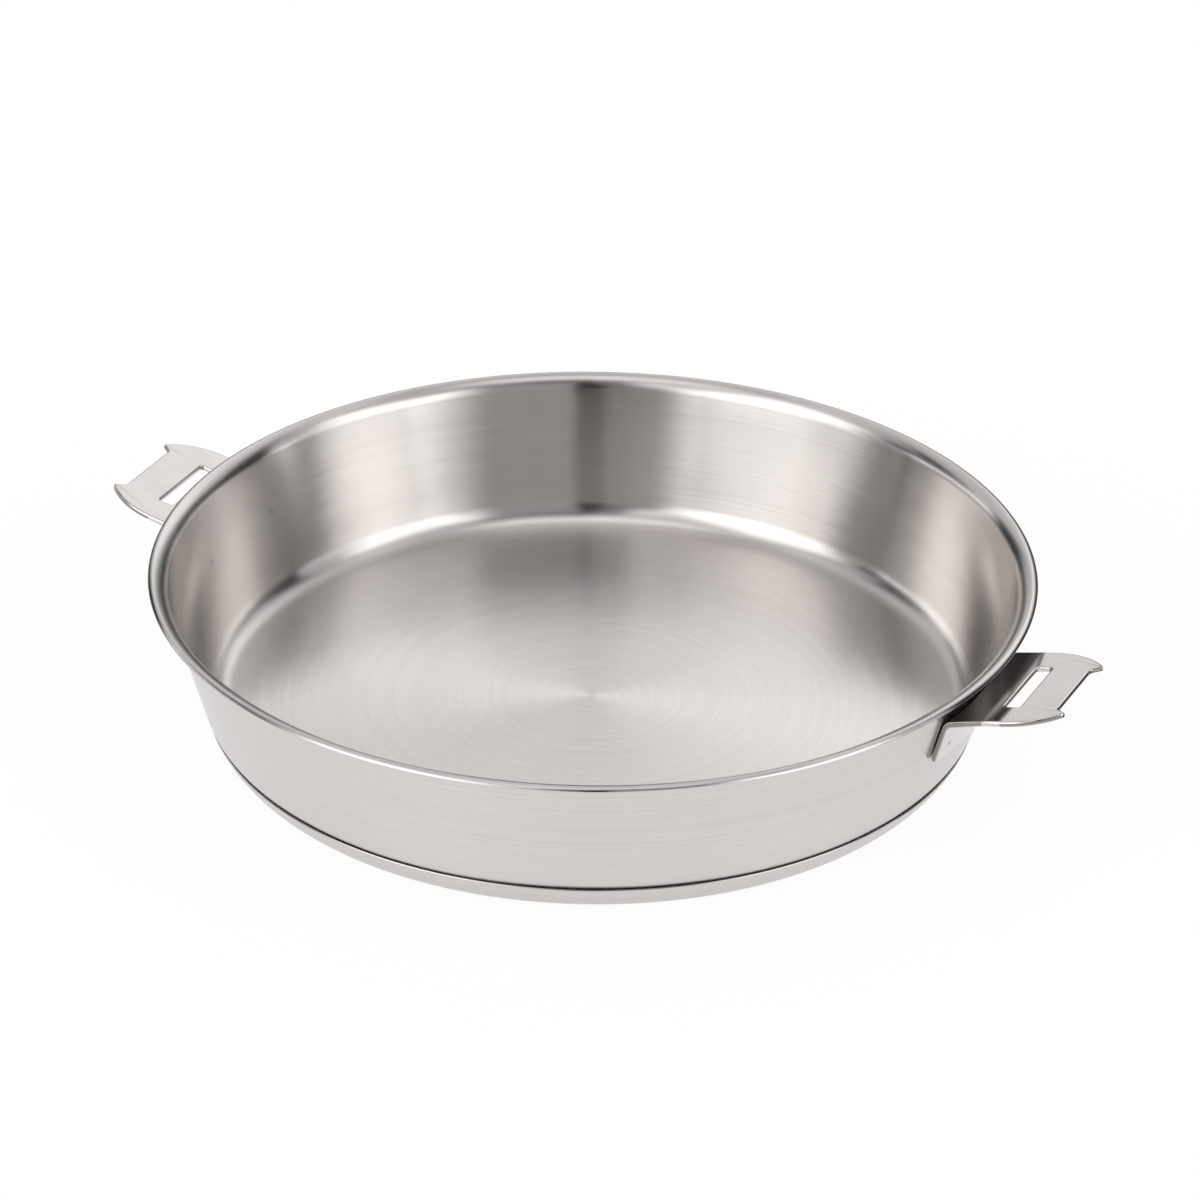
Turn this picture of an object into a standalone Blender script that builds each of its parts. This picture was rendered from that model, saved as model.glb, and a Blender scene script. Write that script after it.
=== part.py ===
# Stainless steel frying pan with an encapsulated base and two welded handle brackets.
# Metres, +Z up. The origin is the middle of the underside, and the brackets lie on the X axis.

import math

import bmesh
import bpy
from mathutils import Vector

# Clearance that two pieces keep where the real ones touch
SEAT_GAP = 0.0003

# Pan body, drawn from one sheet
RIM_RADIUS = 0.150
PAN_HEIGHT = 0.058
SHELL_SHEET = 0.0008
WALL_LEAN = math.radians(15.9)
CORNER_RADIUS = 0.0100
LIP_RADIUS = 0.0050
LIP_DROOP = math.radians(12.0)

# Base: a thick aluminium disc held in a thin steel capsule
CORE_THICKNESS = 0.0050
CAPSULE_SHEET = 0.0006
SEAM_RISE = 0.0029
SEAM_GAP = 0.0007
CAPSULE_TOP_LEAN = math.radians(22.0)
CAPSULE_HEEL_LEAN = math.radians(50.0)
CAPSULE_HEEL_RADIUS = 0.0016

# Bracket: a flange on the wall, bent out into a slotted tab with two ears
BRACKET_SHEET = 0.0020
BRACKET_BEND_RADIUS = 0.0015
FLANGE_DEPTH = 0.0165
FLANGE_HALF_WIDTH = 0.0270
FLANGE_CORNER_RADIUS = 0.0020
TAB_HALF_WIDTH = 0.0262
TAB_DROP = 0.0066
TAB_INNER_RISE = math.radians(16.0)
TAB_OUTER_RISE = math.radians(12.0)
CREASE_REACH = 0.0030
SLOT_START_REACH = 0.0058
SLOT_WIDTH = 0.0051
SLOT_LENGTH = 0.0292
SLOT_CORNER_RADIUS = 0.0010
TAPER_START_REACH = 0.0085
TAPER_RADIUS = 0.0250
EAR_REACH = 0.0272
EAR_LENGTH = 0.0030
EAR_SPACING = 0.0292
EAR_FLARE = math.radians(35.0)

# Spot welds between the flange and the wall
WELD_SPACING = 0.0420
WELD_DEPTH = 0.0110
NUGGET_RADIUS = 0.0025
NUGGET_POCKET = 0.0010

# Facets
TURN_STEPS = 72
ARC_STEP = math.radians(13.0)
BRACKET_COLUMNS = 12
CUTTER_MARGIN = 0.004

UNDERSIDE_HEIGHT = CAPSULE_SHEET + CORE_THICKNESS + 2 * SEAT_GAP
SEAM_HEIGHT = UNDERSIDE_HEIGHT + SEAM_RISE


# Profile tools. A path point is (radius, height, lean), where lean is the angle
# between the path and the vertical, and 90 degrees runs straight outwards.

def arc_leans(first, last):
    count = max(2, math.ceil(abs(last - first) / ARC_STEP))
    return [first + (last - first) * i / count for i in range(count + 1)]


def concave_arc(centre, radius, leans):
    """Path round a centre that lies inside the pan."""
    return [(centre[0] + radius * math.cos(a), centre[1] - radius * math.sin(a), a) for a in leans]


def flared_arc(centre, radius, leans):
    """Path round a centre that lies outside the pan."""
    return [(centre[0] - radius * math.cos(a), centre[1] + radius * math.sin(a), a) for a in leans]


def offset(path, distance):
    """Moves a path square to itself, outwards and down for a positive distance."""
    return [(r + distance * math.cos(a), z - distance * math.sin(a), a) for r, z, a in path]


def rounded_end(point, thickness):
    """Points round the free edge of a sheet, from its outer face to its inner face."""
    r, z, lean = point
    turns = [math.radians(a) for a in (45, 90, 135)]
    half = thickness / 2
    return [(r + half * math.cos(lean - t), z - half * math.sin(lean - t)) for t in turns]


def sheet_outline(path, thickness):
    """Closed section of a sheet round its middle path, which starts on the axis."""
    outer = [(max(r, 0.0), z) for r, z, lean in offset(path, thickness / 2)]
    inner = [(max(r, 0.0), z) for r, z, lean in offset(path, -thickness / 2)]
    return outer + rounded_end(path[-1], thickness) + inner[::-1]


def shell_path():
    """Middle of the pan's sheet, from the centre of the floor to the edge of the lip."""
    half = SHELL_SHEET / 2
    lip_end = math.radians(90.0) + LIP_DROOP
    lip_centre = (RIM_RADIUS - half - LIP_RADIUS * math.sin(LIP_DROOP),
                  PAN_HEIGHT - half - LIP_RADIUS)
    lip = flared_arc(lip_centre, LIP_RADIUS, arc_leans(WALL_LEAN, lip_end))
    floor_height = UNDERSIDE_HEIGHT + half
    corner_end_height = floor_height + CORNER_RADIUS * (1 - math.sin(WALL_LEAN))
    wall_run = (lip[0][1] - corner_end_height) * math.tan(WALL_LEAN)
    floor_radius = lip[0][0] - wall_run - CORNER_RADIUS * math.cos(WALL_LEAN)
    corner = concave_arc((floor_radius, floor_height + CORNER_RADIUS), CORNER_RADIUS,
                         arc_leans(math.radians(90.0), WALL_LEAN))
    return [(0.0, floor_height, math.radians(90.0))] + corner + lip


def shell_corner_radius_at(height):
    """Radius of the outside of the shell's corner at a height."""
    arc_radius = CORNER_RADIUS + SHELL_SHEET / 2
    centre_height = UNDERSIDE_HEIGHT + arc_radius
    lean = math.asin((centre_height - height) / arc_radius)
    floor_radius = shell_path()[1][0]
    return floor_radius + arc_radius * math.cos(lean)


def wall_radius_at(height):
    """Radius of the outside of the straight wall at a height."""
    path = offset(shell_path(), SHELL_SHEET / 2)
    lip_start = next(p for p in path if p[1] > PAN_HEIGHT / 2)
    return lip_start[0] - (lip_start[1] - height) * math.tan(WALL_LEAN)


def capsule_path():
    """Middle of the capsule's sheet, from the centre of the underside to the seam."""
    half = CAPSULE_SHEET / 2
    heel_lean = CAPSULE_HEEL_LEAN
    heel_rise = CAPSULE_HEEL_RADIUS * (1 - math.sin(heel_lean))
    flank_radius = (SEAM_HEIGHT - half - heel_rise) / (math.sin(heel_lean) - math.sin(CAPSULE_TOP_LEAN))
    seam_radius = shell_corner_radius_at(SEAM_HEIGHT) + SEAM_GAP + half / math.cos(CAPSULE_TOP_LEAN)
    flank_run = flank_radius * (math.cos(CAPSULE_TOP_LEAN) - math.cos(heel_lean))
    flat_radius = seam_radius - flank_run - CAPSULE_HEEL_RADIUS * math.cos(heel_lean)
    heel = concave_arc((flat_radius, half + CAPSULE_HEEL_RADIUS), CAPSULE_HEEL_RADIUS,
                       arc_leans(math.radians(90.0), heel_lean))
    heel_end = heel[-1]
    flank_centre = (heel_end[0] - flank_radius * math.cos(heel_lean),
                    heel_end[1] + flank_radius * math.sin(heel_lean))
    flank = concave_arc(flank_centre, flank_radius, arc_leans(heel_lean, CAPSULE_TOP_LEAN))
    return [(0.0, half, math.radians(90.0))] + heel + flank[1:]


def core_outline():
    """Section of the disc, whose pressed edge fills part of the corner above it."""
    rim_height = UNDERSIDE_HEIGHT + SEAM_RISE / 2
    lower = [(max(r, 0.0), z) for r, z, lean in offset(capsule_path(), -(CAPSULE_SHEET / 2 + SEAT_GAP))]
    upper = [(max(r, 0.0), z) for r, z, lean in offset(shell_path(), SHELL_SHEET / 2 + SEAT_GAP)]
    return clipped(lower, rim_height) + clipped(upper, rim_height)[::-1]


def clipped(points, height):
    """The first stretch of a rising line of points, cut off at a height."""
    kept = [points[0]]
    for (r0, z0), (r1, z1) in zip(points, points[1:]):
        if z1 > height:
            share = (height - z0) / (z1 - z0)
            kept.append((r0 + (r1 - r0) * share, height))
            break
        kept.append((r1, z1))
    return kept


# Mesh and material tools

def material(name, colour, roughness, metallic=1.0):
    made = bpy.data.materials.new(name)
    made.use_nodes = True
    shader = made.node_tree.nodes["Principled BSDF"]
    shader.inputs["Base Color"].default_value = (*colour, 1.0)
    shader.inputs["Roughness"].default_value = roughness
    shader.inputs["Metallic"].default_value = metallic
    made.diffuse_color = (*colour, 1.0)
    return made


def object_from(name, work, finish=None, sharp_angle=math.radians(30.0)):
    mesh = bpy.data.meshes.new(name)
    work.to_mesh(mesh)
    work.free()
    mesh.shade_smooth()
    mesh.set_sharp_from_angle(angle=sharp_angle)
    if finish:
        mesh.materials.append(finish)
    made = bpy.data.objects.new(name, mesh)
    bpy.context.scene.collection.objects.link(made)
    return made


def turned(name, outline, finish):
    """Spins a closed section round the Z axis."""
    work = bmesh.new()
    corners = [work.verts.new((r, 0.0, z)) for r, z in outline]
    pairs = list(zip(corners, corners[1:]))
    if outline[0][0] > 0.0 or outline[-1][0] > 0.0:
        pairs.append((corners[-1], corners[0]))
    edges = [work.edges.new(pair) for pair in pairs]
    bmesh.ops.spin(work, geom=corners + edges, axis=(0, 0, 1), cent=(0, 0, 0),
                   angle=math.tau, steps=TURN_STEPS, use_merge=True)
    bmesh.ops.remove_doubles(work, verts=work.verts, dist=1e-6)
    work.normal_update()
    bmesh.ops.recalc_face_normals(work, faces=work.faces)
    return object_from(name, work, finish)


def cutter(name, work, parent):
    made = object_from(name, work)
    made.parent = parent
    made.hide_render = True
    made.display_type = "WIRE"
    return made


def cut(target, tool):
    modifier = target.modifiers.new(tool.name, "BOOLEAN")
    modifier.operation = "DIFFERENCE"
    modifier.object = tool


def block(low, high, corner_radius=0.0):
    """A box between two corners, whose upright edges can be rounded."""
    work = bmesh.new()
    bmesh.ops.create_cube(work, size=1.0)
    low = Vector(low)
    size = Vector(high) - low
    for vertex in work.verts:
        vertex.co = low + Vector(size[i] * (vertex.co[i] + 0.5) for i in range(3))
    if corner_radius > 0.0:
        upright = [e for e in work.edges if abs(e.verts[0].co.z - e.verts[1].co.z) > size.z / 2]
        bmesh.ops.bevel(work, geom=upright, offset=corner_radius, segments=4, profile=0.5,
                        affect="EDGES")
    return work


# Bracket. Its faces are worked out at the +X side, and each bracket is turned to its own side.

CREASE_X = RIM_RADIUS + CREASE_REACH
SLOT_START_X = RIM_RADIUS + SLOT_START_REACH
TAPER_START_X = RIM_RADIUS + TAPER_START_REACH
TIP_X = RIM_RADIUS + EAR_REACH


def tab_height(x):
    """Height of the tab's upper face, whose slope eases at the crease."""
    crease_height = PAN_HEIGHT - TAB_DROP - (SLOT_START_X + SLOT_WIDTH - CREASE_X) * math.tan(TAB_OUTER_RISE)
    rise = TAB_OUTER_RISE if x > CREASE_X else TAB_INNER_RISE
    return crease_height + (x - CREASE_X) * math.tan(rise)


def flange_x(height, y):
    """Where the face of the flange that lies on the wall is, at a height and a side offset."""
    return math.sqrt((wall_radius_at(height) + SEAT_GAP) ** 2 - y ** 2)


def bend_corner(y):
    """Where the flange's inner face and the tab's upper face would meet."""
    height = tab_height(RIM_RADIUS)
    for _ in range(20):
        height = tab_height(flange_x(height, y))
    return flange_x(height, y), height


def tab_half_width(x):
    """Half the width of the tab, narrowed by an arc towards its ears."""
    run = max(0.0, x - TAPER_START_X)
    return TAB_HALF_WIDTH - TAPER_RADIUS + math.sqrt(TAPER_RADIUS ** 2 - run ** 2)


def bracket_column(share):
    """Points up the flange and out along the tab, at a share of the half width from -1 to 1."""
    side = share * FLANGE_HALF_WIDTH
    corner_x, corner_z = bend_corner(side)
    lean = math.atan(math.tan(WALL_LEAN) * wall_radius_at(corner_z) / corner_x)
    tab_lean = math.radians(90.0) - TAB_INNER_RISE
    radius = BRACKET_BEND_RADIUS + BRACKET_SHEET
    tangent = radius * math.tan((tab_lean - lean) / 2)
    foot_z = bend_corner(0.0)[1] - FLANGE_DEPTH
    foot_side = side * wall_radius_at(foot_z) / wall_radius_at(corner_z)
    start = (corner_x - tangent * math.sin(lean), corner_z - tangent * math.cos(lean))
    centre = (start[0] + radius * math.cos(lean), start[1] - radius * math.sin(lean))
    points = [Vector((flange_x(foot_z, foot_side), foot_side, foot_z))]
    for turn in arc_leans(lean, tab_lean):
        points.append(Vector((centre[0] - radius * math.cos(turn), side,
                              centre[1] + radius * math.sin(turn))))
    for x in tab_stations():
        points.append(Vector((x, share * tab_half_width(x), tab_height(x))))
    return points


def tab_stations():
    """Distances from the axis at which the tab's outline is worked out."""
    count = 7
    taper = [TAPER_START_X + (TIP_X - TAPER_START_X) * i / count for i in range(count + 1)]
    return [CREASE_X] + taper


def bracket_face():
    """The face of the bracket that looks at the pan and up, as a grid of quads."""
    work = bmesh.new()
    shares = [2 * i / BRACKET_COLUMNS - 1 for i in range(BRACKET_COLUMNS + 1)]
    columns = [[work.verts.new(p) for p in bracket_column(share)] for share in shares]
    for left, right in zip(columns, columns[1:]):
        for i in range(len(left) - 1):
            work.faces.new((left[i], left[i + 1], right[i + 1], right[i]))
    feet = [columns[0][0], columns[-1][0]]
    bmesh.ops.bevel(work, geom=feet, offset=FLANGE_CORNER_RADIUS, segments=3, profile=0.5,
                    affect="VERTICES")
    work.normal_update()
    top = max(work.faces, key=lambda face: face.calc_center_median().x)
    if top.normal.z < 0:
        bmesh.ops.reverse_faces(work, faces=work.faces)
    return work


def weld_frame(y):
    """Place and direction of a weld, on the wall's outer face."""
    height = bend_corner(0.0)[1] - WELD_DEPTH
    radius = wall_radius_at(height)
    turn = math.asin(y / radius)
    place = Vector((radius * math.cos(turn), y, height))
    normal = Vector((math.cos(WALL_LEAN) * math.cos(turn), math.cos(WALL_LEAN) * math.sin(turn),
                     -math.sin(WALL_LEAN)))
    return place, normal


def disc(place, normal, radius, near, far):
    """A short cylinder square to the wall, between two distances from its outer face."""
    work = bmesh.new()
    bmesh.ops.create_cone(work, cap_ends=True, segments=20, radius1=radius, radius2=radius,
                          depth=far - near)
    turn = Vector((0, 0, 1)).rotation_difference(normal).to_matrix()
    for vertex in work.verts:
        vertex.co = turn @ vertex.co + place + normal * (near + far) / 2
    return work


def add_bracket(side, turn, sheet_finish, weld_finish):
    seat = bpy.data.objects.new(side + "_bracket_seat", None)
    seat.rotation_euler.z = turn
    bpy.context.scene.collection.objects.link(seat)

    bracket = object_from(side + "_bracket", bracket_face(), sheet_finish)
    bracket.parent = seat
    sheet = bracket.modifiers.new("sheet", "SOLIDIFY")
    sheet.thickness = BRACKET_SHEET
    sheet.offset = -1.0
    sheet.use_even_offset = True

    low = tab_height(SLOT_START_X) - BRACKET_SHEET - CUTTER_MARGIN
    high = tab_height(TIP_X) + CUTTER_MARGIN
    slot = block((SLOT_START_X, -SLOT_LENGTH / 2, low),
                 (SLOT_START_X + SLOT_WIDTH, SLOT_LENGTH / 2, high), SLOT_CORNER_RADIUS)
    cut(bracket, cutter(side + "_slot_cutter", slot, seat))
    notch = block((TIP_X - EAR_LENGTH, -EAR_SPACING / 2, low),
                  (TIP_X + CUTTER_MARGIN, EAR_SPACING / 2, high))
    for vertex in notch.verts:
        if vertex.co.x > TIP_X:
            flare = (EAR_LENGTH + CUTTER_MARGIN) * math.tan(EAR_FLARE)
            vertex.co.y += math.copysign(flare, vertex.co.y)
    cut(bracket, cutter(side + "_notch_cutter", notch, seat))

    for y in (-WELD_SPACING / 2, WELD_SPACING / 2):
        # near is the -Y side of the finished pan
        label = "near" if y * math.cos(turn) < 0 else "far"
        place, normal = weld_frame(y)
        pocket = disc(place, normal, NUGGET_RADIUS + SEAT_GAP, -CUTTER_MARGIN / 4,
                      SEAT_GAP + NUGGET_POCKET)
        cut(bracket, cutter(side + "_" + label + "_pocket_cutter", pocket, seat))
        nugget = object_from(side + "_" + label + "_spot_weld",
                             disc(place, normal, NUGGET_RADIUS, SEAT_GAP, NUGGET_POCKET),
                             weld_finish)
        nugget.parent = seat
    return bracket


def build_pan():
    for old in list(bpy.data.objects):
        bpy.data.objects.remove(old, do_unlink=True)

    satin_steel = material("satin_steel", (0.66, 0.65, 0.63), 0.30)
    base_steel = material("base_steel", (0.60, 0.59, 0.57), 0.34)
    core_aluminium = material("core_aluminium", (0.78, 0.79, 0.80), 0.45)
    bracket_steel = material("bracket_steel", (0.68, 0.67, 0.65), 0.22)
    weld_steel = material("weld_steel", (0.45, 0.44, 0.43), 0.55)

    turned("pan_shell", sheet_outline(shell_path(), SHELL_SHEET), satin_steel)
    turned("heat_spreader_disc", core_outline(), core_aluminium)
    turned("base_capsule", sheet_outline(capsule_path(), CAPSULE_SHEET), base_steel)
    add_bracket("right", 0.0, bracket_steel, weld_steel)
    add_bracket("left", math.pi, bracket_steel, weld_steel)


build_pan()
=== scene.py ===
import math
import bpy
from mathutils import Matrix, Vector


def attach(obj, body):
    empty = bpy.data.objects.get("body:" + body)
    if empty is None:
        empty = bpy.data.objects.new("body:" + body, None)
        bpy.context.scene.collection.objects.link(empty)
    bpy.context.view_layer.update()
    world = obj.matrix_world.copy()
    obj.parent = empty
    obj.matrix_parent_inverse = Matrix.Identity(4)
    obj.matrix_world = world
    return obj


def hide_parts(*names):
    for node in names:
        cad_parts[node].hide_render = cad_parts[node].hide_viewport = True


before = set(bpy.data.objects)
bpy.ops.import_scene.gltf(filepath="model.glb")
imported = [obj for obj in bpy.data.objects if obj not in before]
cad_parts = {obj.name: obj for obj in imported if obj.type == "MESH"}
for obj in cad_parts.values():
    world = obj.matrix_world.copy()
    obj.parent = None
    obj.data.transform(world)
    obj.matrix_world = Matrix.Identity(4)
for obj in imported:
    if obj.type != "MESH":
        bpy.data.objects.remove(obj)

print("frame loaded")
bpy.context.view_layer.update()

# turn of the brackets against the camera, as the pan stands in the photo
panTurn = math.radians(25.72)
degree = 180 / math.pi

sameSpot = 1e-6  # points of a spun line that are nearer than this are one
hair = 1e-5  # places that should agree differ by less
centimetre = 0.01  # a rough size, where the exact one doesn't matter


def alone(piece):
    bpy.ops.object.select_all(action="DESELECT")
    piece.select_set(True)
    bpy.context.view_layer.objects.active = piece


def edit(piece, select="SELECT"):
    alone(piece)
    bpy.ops.object.mode_set(mode="EDIT")
    bpy.ops.mesh.select_all(action=select)


def done():
    bpy.ops.object.mode_set(mode="OBJECT")


def drawLine(name, points):
    # one vertex, extruded from point to point
    bpy.ops.object.select_all(action="DESELECT")
    bpy.ops.mesh.primitive_plane_add(size=centimetre)
    piece = bpy.context.object
    piece.name = name
    bpy.ops.object.mode_set(mode="EDIT")
    bpy.ops.mesh.merge(type="CENTER")
    bpy.ops.transform.translate(value=points[0])
    for here, there in zip(points, points[1:]):
        bpy.ops.mesh.extrude_vertices_move(TRANSFORM_OT_translate={"value": there - here})
    done()
    return piece


def turn(piece, steps):
    # spins a line round the upright axis and closes it
    edit(piece)
    bpy.ops.mesh.spin(steps=steps, angle=math.tau, center=(0, 0, 0), axis=(0, 0, 1))
    bpy.ops.mesh.select_all(action="SELECT")
    bpy.ops.mesh.remove_doubles(threshold=sameSpot)
    bpy.ops.mesh.normals_make_consistent(inside=False)
    done()


def modify(piece, kind, **settings):
    alone(piece)
    modifier = piece.modifiers.new(kind.lower(), kind)
    for name, value in settings.items():
        setattr(modifier, name, value)
    bpy.ops.object.modifier_apply(modifier=modifier.name)


def smooth(piece, angle=35):
    alone(piece)
    bpy.ops.object.shade_smooth_by_angle(angle=math.radians(angle))


def arc(centre, radius, start, end, steps, flared=False):
    # leans are degrees from upright; a flared arc turns round a centre outside the pan
    side = -1 if flared else 1
    points = []
    for i in range(steps + 1):
        lean = math.radians(start + (end - start) * i / steps)
        points.append(Vector((centre[0] + side * radius * math.cos(lean), 0,
                              centre[1] - side * radius * math.sin(lean))))
    return points


panBody = {
    "rimRadius": 0.14998,
    "height": 0.058,
    "sheet": 0.0008,
    "underside": 0.0062,
    "wallLean": 15.9,
    "wallAtRim": 0.1449,  # middle of the wall, carried up to the rim's height
    "cornerRadius": 0.010,
    "curlRadius": 0.0013,
    "curlStart": 80,
    "curlEnd": 150,
    "floorRings": 6,
    "cornerSteps": 14,
    "wallRings": 6,
    "flareSteps": 14,
    "curlSteps": 10,
    "turnSteps": 320,
    "edgeShare": 0.45,  # of the sheet, rounded off along the open edge
    "edgeSteps": 4,
    "colour": 0.66,
    "warmth": 0.045,
    "roughness": 0.20,
    "anisotropy": 1.0,
    "lineFineness": 900,
    "lineBump": 0.12,
    "lineSway": 0.02,
}


def bodyLine(p):
    half = p["sheet"] / 2
    lean, start, end = [math.radians(p[name]) for name in ("wallLean", "curlStart", "curlEnd")]
    # the rim curls down at its edge, and a wider flare joins the curl to the wall
    curlCentre = Vector((p["rimRadius"] - half + p["curlRadius"] * math.cos(end), 0,
                         p["height"] - half - p["curlRadius"]))
    outFromWall = (curlCentre - Vector((p["wallAtRim"], 0, p["height"]))).dot(
        Vector((math.cos(lean), 0, -math.sin(lean))))
    share = math.cos(start - lean)
    flare = (outFromWall - p["curlRadius"] * share) / (1 - share)
    flareCentre = curlCentre + (flare - p["curlRadius"]) * Vector((math.cos(start), 0, -math.sin(start)))
    lip = arc((flareCentre.x, flareCentre.z), flare,
              p["wallLean"], p["curlStart"], p["flareSteps"], flared=True)
    lip += arc((curlCentre.x, curlCentre.z), p["curlRadius"],
               p["curlStart"], p["curlEnd"], p["curlSteps"], flared=True)[1:]
    tip = lip[-1] + half * Vector((math.sin(end), 0, math.cos(end)))
    floor = p["underside"] + half
    cornerTop = floor + p["cornerRadius"] * (1 - math.sin(lean))
    flat = lip[0].x - (lip[0].z - cornerTop) * math.tan(lean) - p["cornerRadius"] * math.cos(lean)
    corner = arc((flat, floor + p["cornerRadius"]), p["cornerRadius"], 90, p["wallLean"], p["cornerSteps"])
    rings = [Vector((flat * i / p["floorRings"], 0, floor)) for i in range(p["floorRings"])]
    wall = [corner[-1].lerp(lip[0], i / p["wallRings"]) for i in range(1, p["wallRings"])]
    return rings + corner + wall + lip + [tip]


def makeTurned(name, points, p):
    # the line becomes a round sheet, and the sheet's open edge is rounded off
    piece = drawLine(name, points)
    turn(piece, p["turnSteps"])
    modify(piece, "SOLIDIFY", thickness=p["sheet"], offset=0)
    modify(piece, "BEVEL", width=p["sheet"] * p["edgeShare"], segments=p["edgeSteps"],
           limit_method="ANGLE", angle_limit=math.radians(50))
    smooth(piece)
    return piece


base = {
    "sheet": 0.0006,
    "seamHeight": 0.0091,
    "seamRadius": 0.13125,
    "topLean": 22,
    "heelLean": 50,
    "heelRadius": 0.0016,
    "floorRings": 5,
    "heelSteps": 8,
    "flankSteps": 10,
    "turnSteps": 320,
    "edgeShare": 0.45,
    "edgeSteps": 3,
    "colour": 0.66,
    "warmth": 0.045,
    "roughness": 0.20,
    "anisotropy": 0.9,
    "lineFineness": 700,
    "lineBump": 0.04,
    "lineSway": 0.01,
}


def baseLine(p):
    half = p["sheet"] / 2
    top, heel = math.radians(p["topLean"]), math.radians(p["heelLean"])
    heelRise = p["heelRadius"] * (1 - math.sin(heel))
    flank = (p["seamHeight"] - half - heelRise) / (math.sin(heel) - math.sin(top))
    seam = p["seamRadius"] - half / math.cos(top)
    flat = seam - flank * (math.cos(top) - math.cos(heel)) - p["heelRadius"] * math.cos(heel)
    heelArc = arc((flat, half + p["heelRadius"]), p["heelRadius"], 90, p["heelLean"], p["heelSteps"])
    centre = (heelArc[-1].x - flank * math.cos(heel), heelArc[-1].z + flank * math.sin(heel))
    rings = [Vector((flat * i / p["floorRings"], 0, half)) for i in range(p["floorRings"])]
    flankArc = arc(centre, flank, p["heelLean"], p["topLean"], p["flankSteps"])
    tip = flankArc[-1] + half * Vector((math.sin(top), 0, math.cos(top)))
    return rings + heelArc + flankArc[1:] + [tip]


bracket = {
    "sheet": 0.0020,
    "insideBend": 0.0015,
    "flangeHalf": 0.0270,
    "flangeDepth": 0.0165,
    "tabHalf": 0.0262,
    "innerRise": 16,
    "outerRise": 12,
    "creaseAt": 0.153,
    "creaseHalf": 0.0008,
    "slotAt": 0.1558,
    "slotWidth": 0.0051,
    "slotLength": 0.0292,
    "tabDrop": 0.0066,
    "taperAt": 0.1585,
    "taperRadius": 0.025,
    "earLength": 0.0030,
    "earGap": 0.0292,
    "earFlare": 35,
    "tipAt": 0.1772,
    "wallGap": 0.0003,
    "wallGuess": 0.145,  # about where the tab meets the wall
    "columns": 28,
    "flangeRows": 3,
    "bendSteps": 8,
    "taperSteps": 12,
    "flatAngle": 0.4,  # faces that bend less than this become one
    "edgeRoll": 0.0008,
    "rollSteps": 4,
    "rollAngle": 40,
    "cutterLow": 0.040,
    "slotCutterTop": 0.060,
    "notchCutterTop": 0.065,
    "notchCutterReach": 0.004,
    "slotCorner": 0.0010,
    "notchCorner": 0.0008,
    "flangeCorner": 0.0015,
    "earRound": 0.0008,
    "colour": 0.66,
    "warmth": 0.045,
    "roughness": 0.11,
    "grainBump": 0.05,
    "cutBelow": 0.040,  # the foot of the flange is cut too
    "cutColour": 0.34,
    "cutRoughness": 0.45,
}


def wallRadius(height, p=panBody):
    # outside of the pan's wall
    lean = math.radians(p["wallLean"])
    return p["wallAtRim"] - (p["height"] - height) * math.tan(lean) + p["sheet"] / 2 / math.cos(lean)


def tabHeight(x, p=bracket):
    outer = math.tan(math.radians(p["outerRise"]))
    crease = panBody["height"] - p["tabDrop"] - (p["slotAt"] + p["slotWidth"] - p["creaseAt"]) * outer
    rise = outer if x > p["creaseAt"] else math.tan(math.radians(p["innerRise"]))
    return crease + (x - p["creaseAt"]) * rise


def tabHalf(x, p=bracket):
    run = max(0, x - p["taperAt"])
    return p["tabHalf"] - p["taperRadius"] + math.sqrt(p["taperRadius"] ** 2 - run ** 2)


def bracketColumn(share, p=bracket):
    # points up the flange, round the bend and out along the tab
    side = share * p["flangeHalf"]
    height = tabHeight(p["wallGuess"])
    for _ in range(12):  # wall and tab settle on the height where they meet
        across = math.sqrt((wallRadius(height) + p["wallGap"]) ** 2 - side ** 2)
        height = tabHeight(across)
    lean = math.atan(math.tan(math.radians(panBody["wallLean"])) * wallRadius(height) / across)
    tabLean = math.radians(90 - p["innerRise"])
    radius = p["insideBend"] + p["sheet"]
    run = radius * math.tan((tabLean - lean) / 2)
    start = Vector((across - run * math.sin(lean), side, height - run * math.cos(lean)))
    foot = tabHeight(wallRadius(height)) - p["flangeDepth"]
    footSide = side * wallRadius(foot) / wallRadius(height)
    footAcross = math.sqrt((wallRadius(foot) + p["wallGap"]) ** 2 - footSide ** 2)
    bottom = Vector((footAcross, footSide, foot))
    points = [bottom.lerp(start, i / p["flangeRows"]) for i in range(p["flangeRows"])]
    centre = start + radius * Vector((math.cos(lean), 0, -math.sin(lean)))
    for i in range(p["bendSteps"] + 1):
        angle = lean + (tabLean - lean) * i / p["bendSteps"]
        points.append(centre + radius * Vector((-math.cos(angle), 0, math.sin(angle))))
    for x in [p["creaseAt"] - p["creaseHalf"], p["creaseAt"] + p["creaseHalf"]]:
        points.append(Vector((x, share * p["tabHalf"], tabHeight(x))))
    for i in range(p["taperSteps"] + 1):
        x = p["taperAt"] + (p["tipAt"] - p["taperAt"]) * i / p["taperSteps"]
        points.append(Vector((x, share * tabHalf(x), tabHeight(x))))
    return points


def cutAway(piece, cutter):
    modify(piece, "BOOLEAN", operation="DIFFERENCE", object=cutter, solver="EXACT")
    bpy.data.objects.remove(cutter)


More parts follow.
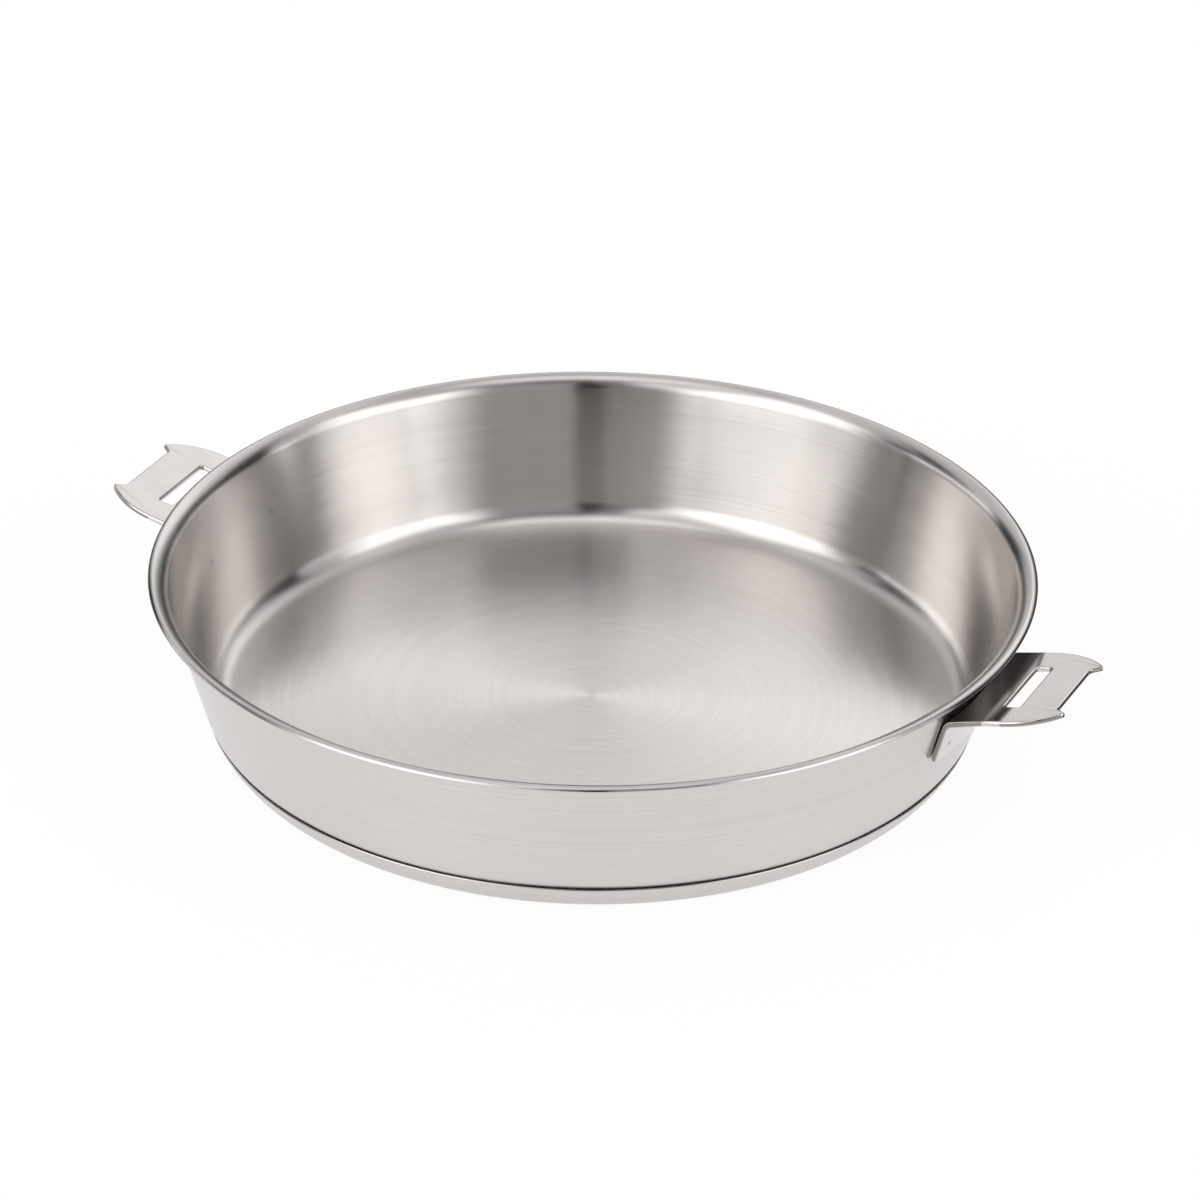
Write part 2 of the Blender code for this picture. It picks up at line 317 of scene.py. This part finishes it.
def makeBracket(name):
    p = bracket
    shares = [2 * i / p["columns"] - 1 for i in range(p["columns"] + 1)]
    rows = list(zip(*[bracketColumn(s) for s in shares]))
    # the flange's lower row is drawn first, and each next row is pulled from the last
    piece = drawLine(name, list(rows[0]))
    for row in rows[1:]:
        count = len(piece.data.vertices)
        edit(piece, "DESELECT")
        done()
        for edge in piece.data.edges:
            edge.select = min(edge.vertices) >= count - len(row)
        for vertex in piece.data.vertices:
            vertex.select = vertex.index >= count - len(row)
        bpy.ops.object.mode_set(mode="EDIT")
        bpy.ops.mesh.extrude_edges_move()
        done()
        pulled = sorted(piece.data.vertices[count:], key=lambda v: v.co.y)
        for vertex, place in zip(pulled, row):
            vertex.co = place
    nearRow = 0.0002
    roundCorners(piece, lambda v: v.z < rows[0][0].z + nearRow, p["flangeCorner"])
    roundCorners(piece, lambda v: v.x > p["tipAt"] - nearRow, p["earRound"])
    edit(piece)
    bpy.ops.mesh.normals_make_consistent(inside=False)
    done()
    if max(piece.data.polygons, key=lambda face: face.center.x).normal.z < 0:
        edit(piece)
        bpy.ops.mesh.flip_normals()
        done()
    modify(piece, "SOLIDIFY", thickness=p["sheet"], offset=-1, use_even_offset=True)
    cutAway(piece, slotCutter(p))
    cutAway(piece, notchCutter(p))
    # flat stretches become single faces, so that the rolled edges come out even; the middle
    # line stays as a seam, or one face would close round the slot
    for edge in piece.data.edges:
        edge.use_seam = all(abs(piece.data.vertices[v].co.y) < hair for v in edge.vertices)
    edit(piece)
    bpy.ops.mesh.remove_doubles(threshold=2 * hair)
    bpy.ops.mesh.dissolve_limited(angle_limit=math.radians(p["flatAngle"]), delimit={"SEAM"})
    done()
    modify(piece, "BEVEL", width=p["edgeRoll"], segments=p["rollSteps"], limit_method="ANGLE",
           angle_limit=math.radians(p["rollAngle"]), use_clamp_overlap=False)
    for face in piece.data.polygons:
        face.material_index = int(isCut(face.normal, face.center))
    smooth(piece, p["rollAngle"])
    modify(piece, "WEIGHTED_NORMAL", keep_sharp=True)
    return piece


def isCut(normal, centre, p=bracket):
    # the sheared edge between the sheet's two faces, where it isn't polished
    level, sideways, straight = 0.35, 0.5, 0.85  # parts of the normal
    if centre.x > p["creaseAt"]:
        return centre.x > p["taperAt"] and abs(normal.z) < level and abs(normal.y) > sideways
    return abs(normal.y) > straight or (normal.z < -straight and centre.z < p["cutBelow"])


def roundCorners(piece, wanted, radius):
    # rounds the sheet's outermost vertices among those wanted
    edit(piece, "DESELECT")
    done()
    reach = max(abs(v.co.y) for v in piece.data.vertices if wanted(v.co))
    for vertex in piece.data.vertices:
        vertex.select = wanted(vertex.co) and abs(vertex.co.y) > reach - hair
    bpy.ops.object.mode_set(mode="EDIT")
    bpy.ops.mesh.bevel(offset=radius, segments=4, affect="VERTICES")
    done()


def block(low, high):
    bpy.ops.object.select_all(action="DESELECT")
    middle = [(a + b) / 2 for a, b in zip(low, high)]
    bpy.ops.mesh.primitive_cube_add(size=1, location=middle)
    piece = bpy.context.object
    piece.scale = [b - a for a, b in zip(low, high)]
    bpy.ops.object.transform_apply(location=True, rotation=False, scale=True)
    return piece


def bevelEdges(piece, wanted, width, steps):
    edit(piece, "DESELECT")
    done()
    for edge in piece.data.edges:
        a, b = [piece.data.vertices[v].co for v in edge.vertices]
        edge.select = wanted(a, b)
    bpy.ops.object.mode_set(mode="EDIT")
    bpy.ops.mesh.select_mode(type="EDGE")
    bpy.ops.mesh.bevel(offset=width, segments=steps, affect="EDGES")
    bpy.ops.mesh.select_mode(type="VERT")
    done()


def upright(a, b):
    return abs(a.z - b.z) > centimetre


def slotCutter(p):
    half = p["slotLength"] / 2
    cutter = block((p["slotAt"], -half, p["cutterLow"]),
                   (p["slotAt"] + p["slotWidth"], half, p["slotCutterTop"]))
    bevelEdges(cutter, upright, p["slotCorner"], 5)
    return cutter


def notchCutter(p):
    half, reach = p["earGap"] / 2, p["earLength"] + p["notchCutterReach"]
    start = p["tipAt"] - p["earLength"]
    middle = start + reach / 2
    cutter = block((start, -half, p["cutterLow"]), (start + reach, half, p["notchCutterTop"]))
    flare = reach * math.tan(math.radians(p["earFlare"]))
    for vertex in cutter.data.vertices:
        if vertex.co.x > middle:
            vertex.co.y += math.copysign(flare, vertex.co.y)
    bevelEdges(cutter, lambda a, b: upright(a, b) and a.x < middle, p["notchCorner"], 4)
    return cutter


def turnedCopy(piece, name):
    # the same bracket, half a turn round the pan
    alone(piece)
    bpy.ops.object.duplicate()
    copy = bpy.context.object
    copy.name = name
    bpy.ops.object.mode_set(mode="EDIT")
    bpy.ops.mesh.select_all(action="SELECT")
    bpy.ops.transform.rotate(value=math.pi, orient_axis="Z", center_override=(0, 0, 0))
    done()
    return copy


class Wire:
    # a socket that can stand in a sum
    def __init__(self, graph, socket):
        self.graph, self.socket = graph, socket

    def __add__(self, other):
        return self.graph.maths("ADD", self, other)

    def __sub__(self, other):
        return self.graph.maths("SUBTRACT", self, other)

    def __rsub__(self, other):
        return self.graph.maths("SUBTRACT", other, self)

    def __mul__(self, other):
        return self.graph.maths("MULTIPLY", self, other)

    def __truediv__(self, other):
        return self.graph.maths("DIVIDE", self, other)

    def __pow__(self, other):
        return self.graph.maths("POWER", self, other)

    def __abs__(self):
        return self.graph.maths("ABSOLUTE", self)

    __radd__ = __add__
    __rmul__ = __mul__


class Graph:
    def __init__(self, tree):
        self.tree = tree

    def add(self, kind, settings=None, sockets=None, out=0):
        node = self.tree.nodes.new(kind)
        for name, value in (settings or {}).items():
            setattr(node, name, value)
        self.feed(node, sockets or {})
        return Wire(self, node.outputs[out])

    def feed(self, node, sockets):
        for name, value in sockets.items():
            if isinstance(value, Wire):
                self.tree.links.new(value.socket, node.inputs[name])
            else:
                node.inputs[name].default_value = value

    def maths(self, operation, *values):
        return self.add("ShaderNodeMath", {"operation": operation}, dict(enumerate(values)))

    def split(self, vector):
        node = self.add("ShaderNodeSeparateXYZ", None, {0: vector}).socket.node
        return [Wire(self, socket) for socket in node.outputs]

    def join(self, x, y, z):
        return self.add("ShaderNodeCombineXYZ", None, {0: x, 1: y, 2: z})

    def ease(self, value, low, high, start=0, end=1):
        # runs smoothly from start to end as value goes from low to high
        return self.add("ShaderNodeMapRange", {"interpolation_type": "SMOOTHSTEP"},
                        {0: value, 1: low, 2: high, 3: start, 4: end})

    def spread(self, noise, start=0, end=1):
        # a noise keeps near its middle, so that part is stretched over the whole range
        return self.ease(noise, 0.3, 0.7, start, end)

    def mix(self, share, first, second):
        return self.add("ShaderNodeMix", {"data_type": "RGBA"}, {0: share, 6: first, 7: second}, 2)

    def vector(self, operation, *values, **sockets):
        return self.add("ShaderNodeVectorMath", {"operation": operation},
                        {**dict(enumerate(values)), **sockets})

    def noise(self, vector, scale, detail, roughness):
        return self.add("ShaderNodeTexNoise", None,
                        {"Vector": vector, "Scale": scale, "Detail": detail, "Roughness": roughness})


def newFinish(name):
    material = bpy.data.materials.new(name)
    material.use_nodes = True
    graph = Graph(material.node_tree)
    graph.shader = material.node_tree.nodes["Principled BSDF"]
    graph.material = material
    return graph


def warm(level, warmth=0.0):
    # a grey of that level, with more red and a little less blue
    return (level * (1 + warmth), level, level * (1 - warmth * 0.6), 1)


def toned(p, level, warmth=1):
    # the piece's colour, with its level and warmth as shares of their full values
    return warm(p["colour"] * level, p["warmth"] * warmth)


weld = {
    "spacing": 0.042,
    "height": 0.0355,
    "radius": 0.0009,
    "soft": (0.4, 1.2),  # shares of the radius between which a mark fades out
    "colour": 0.42,
}


def weldMarks(g, place):
    # 1 on each weld mark, 0 outside it
    x, y, z = g.split(place)
    side, up = abs(y) - weld["spacing"] / 2, z - weld["height"]
    inner, outer = [weld["radius"] * share for share in weld["soft"]]
    return g.ease((side * side + up * up) ** 0.5, inner, outer, 1, 0)


turnedGrain = {
    "lineRound": 0.5,  # changes round the axis, few against those up the wall
    "strokeRound": 4,
    "strokeUp": 0.4,
    "cloudScale": 18,
    "dark": (0.95, 1.2),  # shares of the colour's level and warmth
    "pale": (1.03, 0.8),
    "mark": 0.6,
    "smoother": 0.010,
    "rougher": 0.015,
    "bumpDepth": 0.0001,
}


def paintTurned(name, p, marks=0, t=turnedGrain):
    # brushed round the axis: quick changes up the wall, slow ones round it
    g = newFinish(name)
    place = g.add("ShaderNodeTexCoord", None, None, "Object")
    x, y, z = g.split(place)
    radius = (x * x + y * y) ** 0.5
    up = (radius + z) * p["lineFineness"]
    lines = g.noise(g.join(x / radius * t["lineRound"], y / radius * t["lineRound"], up), 1.0, 3, 0.6)
    strokes = g.noise(g.join(x / radius * t["strokeRound"], y / radius * t["strokeRound"],
                             up * t["strokeUp"]), 1.0, 2, 0.5)
    clouds = g.noise(place, t["cloudScale"], 3, 0.5)
    mark = weldMarks(g, place) * marks
    tone = g.spread(lines) * 0.5 + g.spread(clouds) * 0.5
    plain = g.mix(tone, toned(p, *t["dark"]), toned(p, *t["pale"]))
    bump = g.add("ShaderNodeBump", None, {"Strength": p["lineBump"], "Distance": t["bumpDepth"],
                                          "Height": lines - mark})
    # each stroke leans a little to one side, which frays the edges of reflections
    sway = g.vector("SCALE", g.join(0 - y / radius, x / radius, 0), Scale=(strokes - 0.5) * p["lineSway"])
    g.feed(g.shader, {
        "Base Color": g.mix(mark, plain, toned(p, t["mark"])),
        "Metallic": 1.0,
        "Roughness": g.spread(clouds, p["roughness"] - t["smoother"], p["roughness"] + t["rougher"]),
        "Anisotropic": p["anisotropy"],
        "Anisotropic Rotation": 0.25,
        "Normal": g.vector("NORMALIZE", g.vector("ADD", bump, sway)),
    })
    return g.material


sheetGrain = {
    "grainScale": 2500,
    "cloudScale": 90,
    "dark": 0.97,  # shares of the colour's level
    "pale": 1.02,
    "mark": 0.3,
    "markRoughness": 0.2,
    "markDepth": 2,
    "smoother": 0.02,
    "rougher": 0.03,
    "bumpDepth": 0.00005,
}


def paintSheet(name, p, marks=0, t=sheetGrain):
    # plain sheet: a fine grain without a direction
    g = newFinish(name)
    place = g.add("ShaderNodeTexCoord", None, None, "Object")
    grain = g.noise(place, t["grainScale"], 3, 0.6)
    clouds = g.noise(place, t["cloudScale"], 2, 0.5)
    mark = weldMarks(g, place) * marks
    plain = g.mix(g.spread(clouds), toned(p, t["dark"]), toned(p, t["pale"]))
    roughness = g.spread(grain, p["roughness"] - t["smoother"], p["roughness"] + t["rougher"])
    g.feed(g.shader, {
        "Base Color": g.mix(mark, plain, toned(p, t["mark"])),
        "Metallic": 1.0,
        "Roughness": roughness + mark * t["markRoughness"],
        "Normal": g.add("ShaderNodeBump", None, {"Strength": p["grainBump"], "Distance": t["bumpDepth"],
                                                 "Height": grain - mark * t["markDepth"]}),
    })
    return g.material


def dress(piece, *materials):
    if piece.data.materials:  # clearing also forgets which faces are cut ones
        piece.data.materials.clear()
    for material in materials:
        piece.data.materials.append(material)


body = makeTurned("panBody", bodyLine(panBody), panBody)
dress(body, paintTurned("satinSteel", panBody, 1))
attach(body, "root")
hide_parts("pan_shell")

capsule = makeTurned("baseCapsule", baseLine(base), base)
dress(capsule, paintTurned("baseSteel", base))
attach(capsule, "root")
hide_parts("base_capsule")
print("pan body and base made")

bracketSteel = paintSheet("bracketSteel", bracket, 1)
cutSteel = paintSheet("cutSteel", {**bracket, "colour": bracket["cutColour"],
                                   "roughness": bracket["cutRoughness"]})
rightBracket = makeBracket("rightBracket")
leftBracket = turnedCopy(rightBracket, "leftBracket")
for piece, node in ((rightBracket, "right_bracket"), (leftBracket, "left_bracket")):
    dress(piece, bracketSteel, cutSteel)
    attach(piece, "root")
    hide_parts(node)
print("brackets made")

core = {"colour": 0.75, "warmth": 0.0, "roughness": 0.4, "grainBump": 0.1}
nugget = {"colour": weld["colour"], "warmth": 0.02, "roughness": 0.5, "grainBump": 0.2}
dress(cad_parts["heat_spreader_disc"], paintSheet("coreAluminium", core))
weldSteel = paintSheet("weldSteel", nugget)
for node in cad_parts:
    if node.endswith("spot_weld"):
        dress(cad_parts[node], weldSteel)
print("hidden core and welds finished")


def compass(g, vector):
    # the way as the camera sees it, and the degrees round the pan: 0 in front, + to the right
    x, y, z = g.split(g.add("ShaderNodeVectorRotate", {"rotation_type": "Z_AXIS"},
                            {"Vector": vector, "Angle": -panTurn}))
    return x, y, z, g.maths("ARCTAN2", x, 0 - y) * degree


def rays(g, *kinds):
    path = g.add("ShaderNodeLightPath").socket.node
    return sum(Wire(g, path.outputs["Is " + kind + " Ray"]) for kind in kinds)


def window(g, value, middle, half, soft):
    # 1 within half of the middle, with a soft edge
    away = g.maths("PINGPONG", value - middle, 180)
    return g.ease(away, half - soft / 2, half + soft / 2, 1, 0)


# the dark strip between the front panels, which fades out high up
darkStrip = {
    "azimuth": 1.2,
    "half": 4,
    "soft": 3,
    "fadeFrom": 40,
    "fadeTo": 56,
}


def inStrip(g, azimuth, p=darkStrip):
    return window(g, azimuth, p["azimuth"], p["half"], p["soft"])


# azimuths and their halves in degrees, distances from the axis in metres, light as levels
floorPlan = {
    "size": 30,
    "drop": 0.0002,
    "colour": 0.86,
    "roughness": 0.9,
    "glow": 0.9,
    "white": 1.03,
    "shadowUnderPan": 0.85,
    "footShadowFrom": 0.122,
    "footShadowTo": 0.138,
    "nearReach": 0.31,
    "farReach": 0.46,
    "farAzimuth": -30,
    "farHalf": 90,
    "farSoft": 16,
    "farLevel": 1.1,
    "shadowAzimuth": 125,
    "shadowHalf": 60,
    "shadowSoft": 6,
    "shadowFrom": 0.185,
    "shadowFull": 0.215,
    "shadowDepth": 0.95,
}


def makeFloor(p):
    bpy.ops.object.select_all(action="DESELECT")
    bpy.ops.mesh.primitive_plane_add(size=p["size"], location=(0, 0, -p["drop"]))
    floor = bpy.context.object
    floor.name = "floor"
    bpy.ops.object.transform_apply(location=True)
    g = newFinish("paleFloor")
    g.feed(g.shader, {"Base Color": warm(p["colour"]), "Roughness": p["roughness"]})
    # the steel mirrors a floor that glows as if lit near the pan and in front of it, with a painted
    # contact shadow round the pan's foot and a painted shadow behind its right
    x, y, z, azimuth = compass(g, g.add("ShaderNodeTexCoord", None, None, "Object"))
    radius = (x * x + y * y) ** 0.5
    far = window(g, azimuth, p["farAzimuth"], p["farHalf"], p["farSoft"]) * p["farLevel"]
    far = far * (1 - inStrip(g, azimuth))
    near = g.ease(radius, p["nearReach"], p["farReach"], 1, 0)
    # painted contact shadow: the floor's glow is dimmed round the foot of the pan
    lit = (near + far * (1 - near)) * g.ease(radius, p["footShadowFrom"], p["footShadowTo"], p["shadowUnderPan"], 1)
    # painted shadow of the pan and its right bracket: the floor's glow is darkened in a sector behind the
    # pan's right, from about 0.2 m out
    dark = window(g, azimuth, p["shadowAzimuth"], p["shadowHalf"], p["shadowSoft"]) * p["shadowDepth"]
    lit = lit * (1 - dark * g.ease(radius, p["shadowFrom"], p["shadowFull"]))
    white = p["white"]
    shade = g.mix(rays(g, "Camera"), g.join(lit, lit, lit), (white, white, white, 1))
    glow = g.add("ShaderNodeEmission", None, {"Color": shade, "Strength": 1.0})
    share = rays(g, "Camera", "Glossy", "Transmission") * p["glow"]
    blend = g.add("ShaderNodeMixShader", None, {0: share, 1: Wire(g, g.shader.outputs[0]), 2: glow})
    g.feed(g.tree.nodes["Material Output"], {"Surface": blend})
    dress(floor, g.material)


# soft panels, in degrees: azimuth, half width, height, half height, softness across and up, level
panels = {
    "leftLow": (-47, 14.6, 28.2, 21.8, 12, 7, 0.76),
    "leftEdge": (-76, 5, 6.4, 4.1, 12, 7, 1.18),
    "rightLow": (28, 23.4, 18.8, 34.8, 3, 7, 0.38),
    "rightEdge": (91, 5, 0.7, 10.8, 12, 25, 1.54),
    "left": (-49, 26.4, 21.1, 14.6, 13, 7, 1.62),
    "leftHigh": (-51, 38.3, 47.1, 16, 12, 14, 0.82),
    "right": (60, 20.3, 22.4, 17.6, 26, 7, 1.86),
    "rightHigh": (67, 28.1, 45.3, 4, 13, 7, 1.90),
    "leftSide": (-112, 19.7, 15.9, 4, 12, 7, 2.06),
    "rear": (179, 55.9, 43.3, 19.5, 12, 7, 0.66),
    "rearLeftLow": (-168, 14, 18, 3.5, 12, 4, 0.75),
    "rearLow": (163, 22.8, 29.9, 10.2, 14, 28, 0.64),
    "front": (-14, 14.5, 26, 70, 3, 7, 0.20),
}

# the same for those overhead: lean to the right, then the angle from the front over the top
overhead = {
    "ceiling": (22, 74.5, 92.3, 20.8, 12, 7, 0.53),
    "frontHigh": (-61, 33.7, 70.7, 18.9, 12, 7, 0.45),
    "backStrip": (0, 16, 88, 14, 12, 10, 0.7),
}


def makeStudio(strip=darkStrip):
    world = bpy.data.worlds.new("studio")
    bpy.context.scene.world = world
    world.use_nodes = True
    g = Graph(world.node_tree)
    x, y, z, azimuth = compass(g, g.add("ShaderNodeTexCoord", None, None, "Generated"))
    height = g.maths("ARCSINE", z) * degree
    lean = g.maths("ARCSINE", x) * degree
    over = g.maths("ARCTAN2", z, 0 - y) * degree
    light = 0
    for across, up, group in ((azimuth, height, panels), (lean, over, overhead)):
        for a, halfA, b, halfB, softA, softB, level in group.values():
            light += window(g, across, a, halfA, softA) * window(g, up, b, halfB, softB) * level
    light *= 1 - inStrip(g, azimuth) * g.ease(height, strip["fadeFrom"], strip["fadeTo"], 1, 0)
    shade = g.mix(rays(g, "Camera"), g.join(light, light, light), (1, 1, 1, 1))
    g.feed(world.node_tree.nodes["Background"], {"Color": shade, "Strength": 1.0})


# lens and sensor in millimetres, distance and aim in metres, angles in radians
camera = {
    "focal": 151.142,
    "sensor": 36,
    "distance": 1.702068,
    "tilt": 0.488442,
    "aim": 0.0577,
    "yaw": -0.00145027,
    "pitch": -0.00704017,
    "roll": -0.0116933,
}


def makeCamera(p):
    data = bpy.data.cameras.new("camera")
    data.lens = p["focal"]
    data.sensor_width = p["sensor"]
    holder = bpy.data.objects.new("camera", data)
    bpy.context.scene.collection.objects.link(holder)
    place = Vector((0, -math.cos(p["tilt"]), math.sin(p["tilt"]))) * p["distance"]
    ahead = -place.normalized()
    right = Vector((1, 0, 0))
    up = right.cross(ahead)
    swing = Matrix.Rotation(p["yaw"], 3, up)
    ahead, right = swing @ ahead, swing @ right
    nod = Matrix.Rotation(p["pitch"], 3, right)
    ahead, up = nod @ ahead, nod @ up
    lean = Matrix.Rotation(p["roll"], 3, ahead)
    right, up = lean @ right, lean @ up
    turned = Matrix.Rotation(panTurn, 3, "Z")
    frameOf = Matrix((turned @ right, turned @ up, turned @ -ahead)).transposed()
    spot = turned @ place + Vector((0, 0, p["aim"]))
    holder.matrix_world = Matrix.Translation(spot) @ frameOf.to_4x4()
    bpy.context.scene.camera = holder


makeFloor(floorPlan)
makeStudio()
makeCamera(camera)
bpy.context.scene.view_settings.view_transform = "Standard"
print("studio ready")
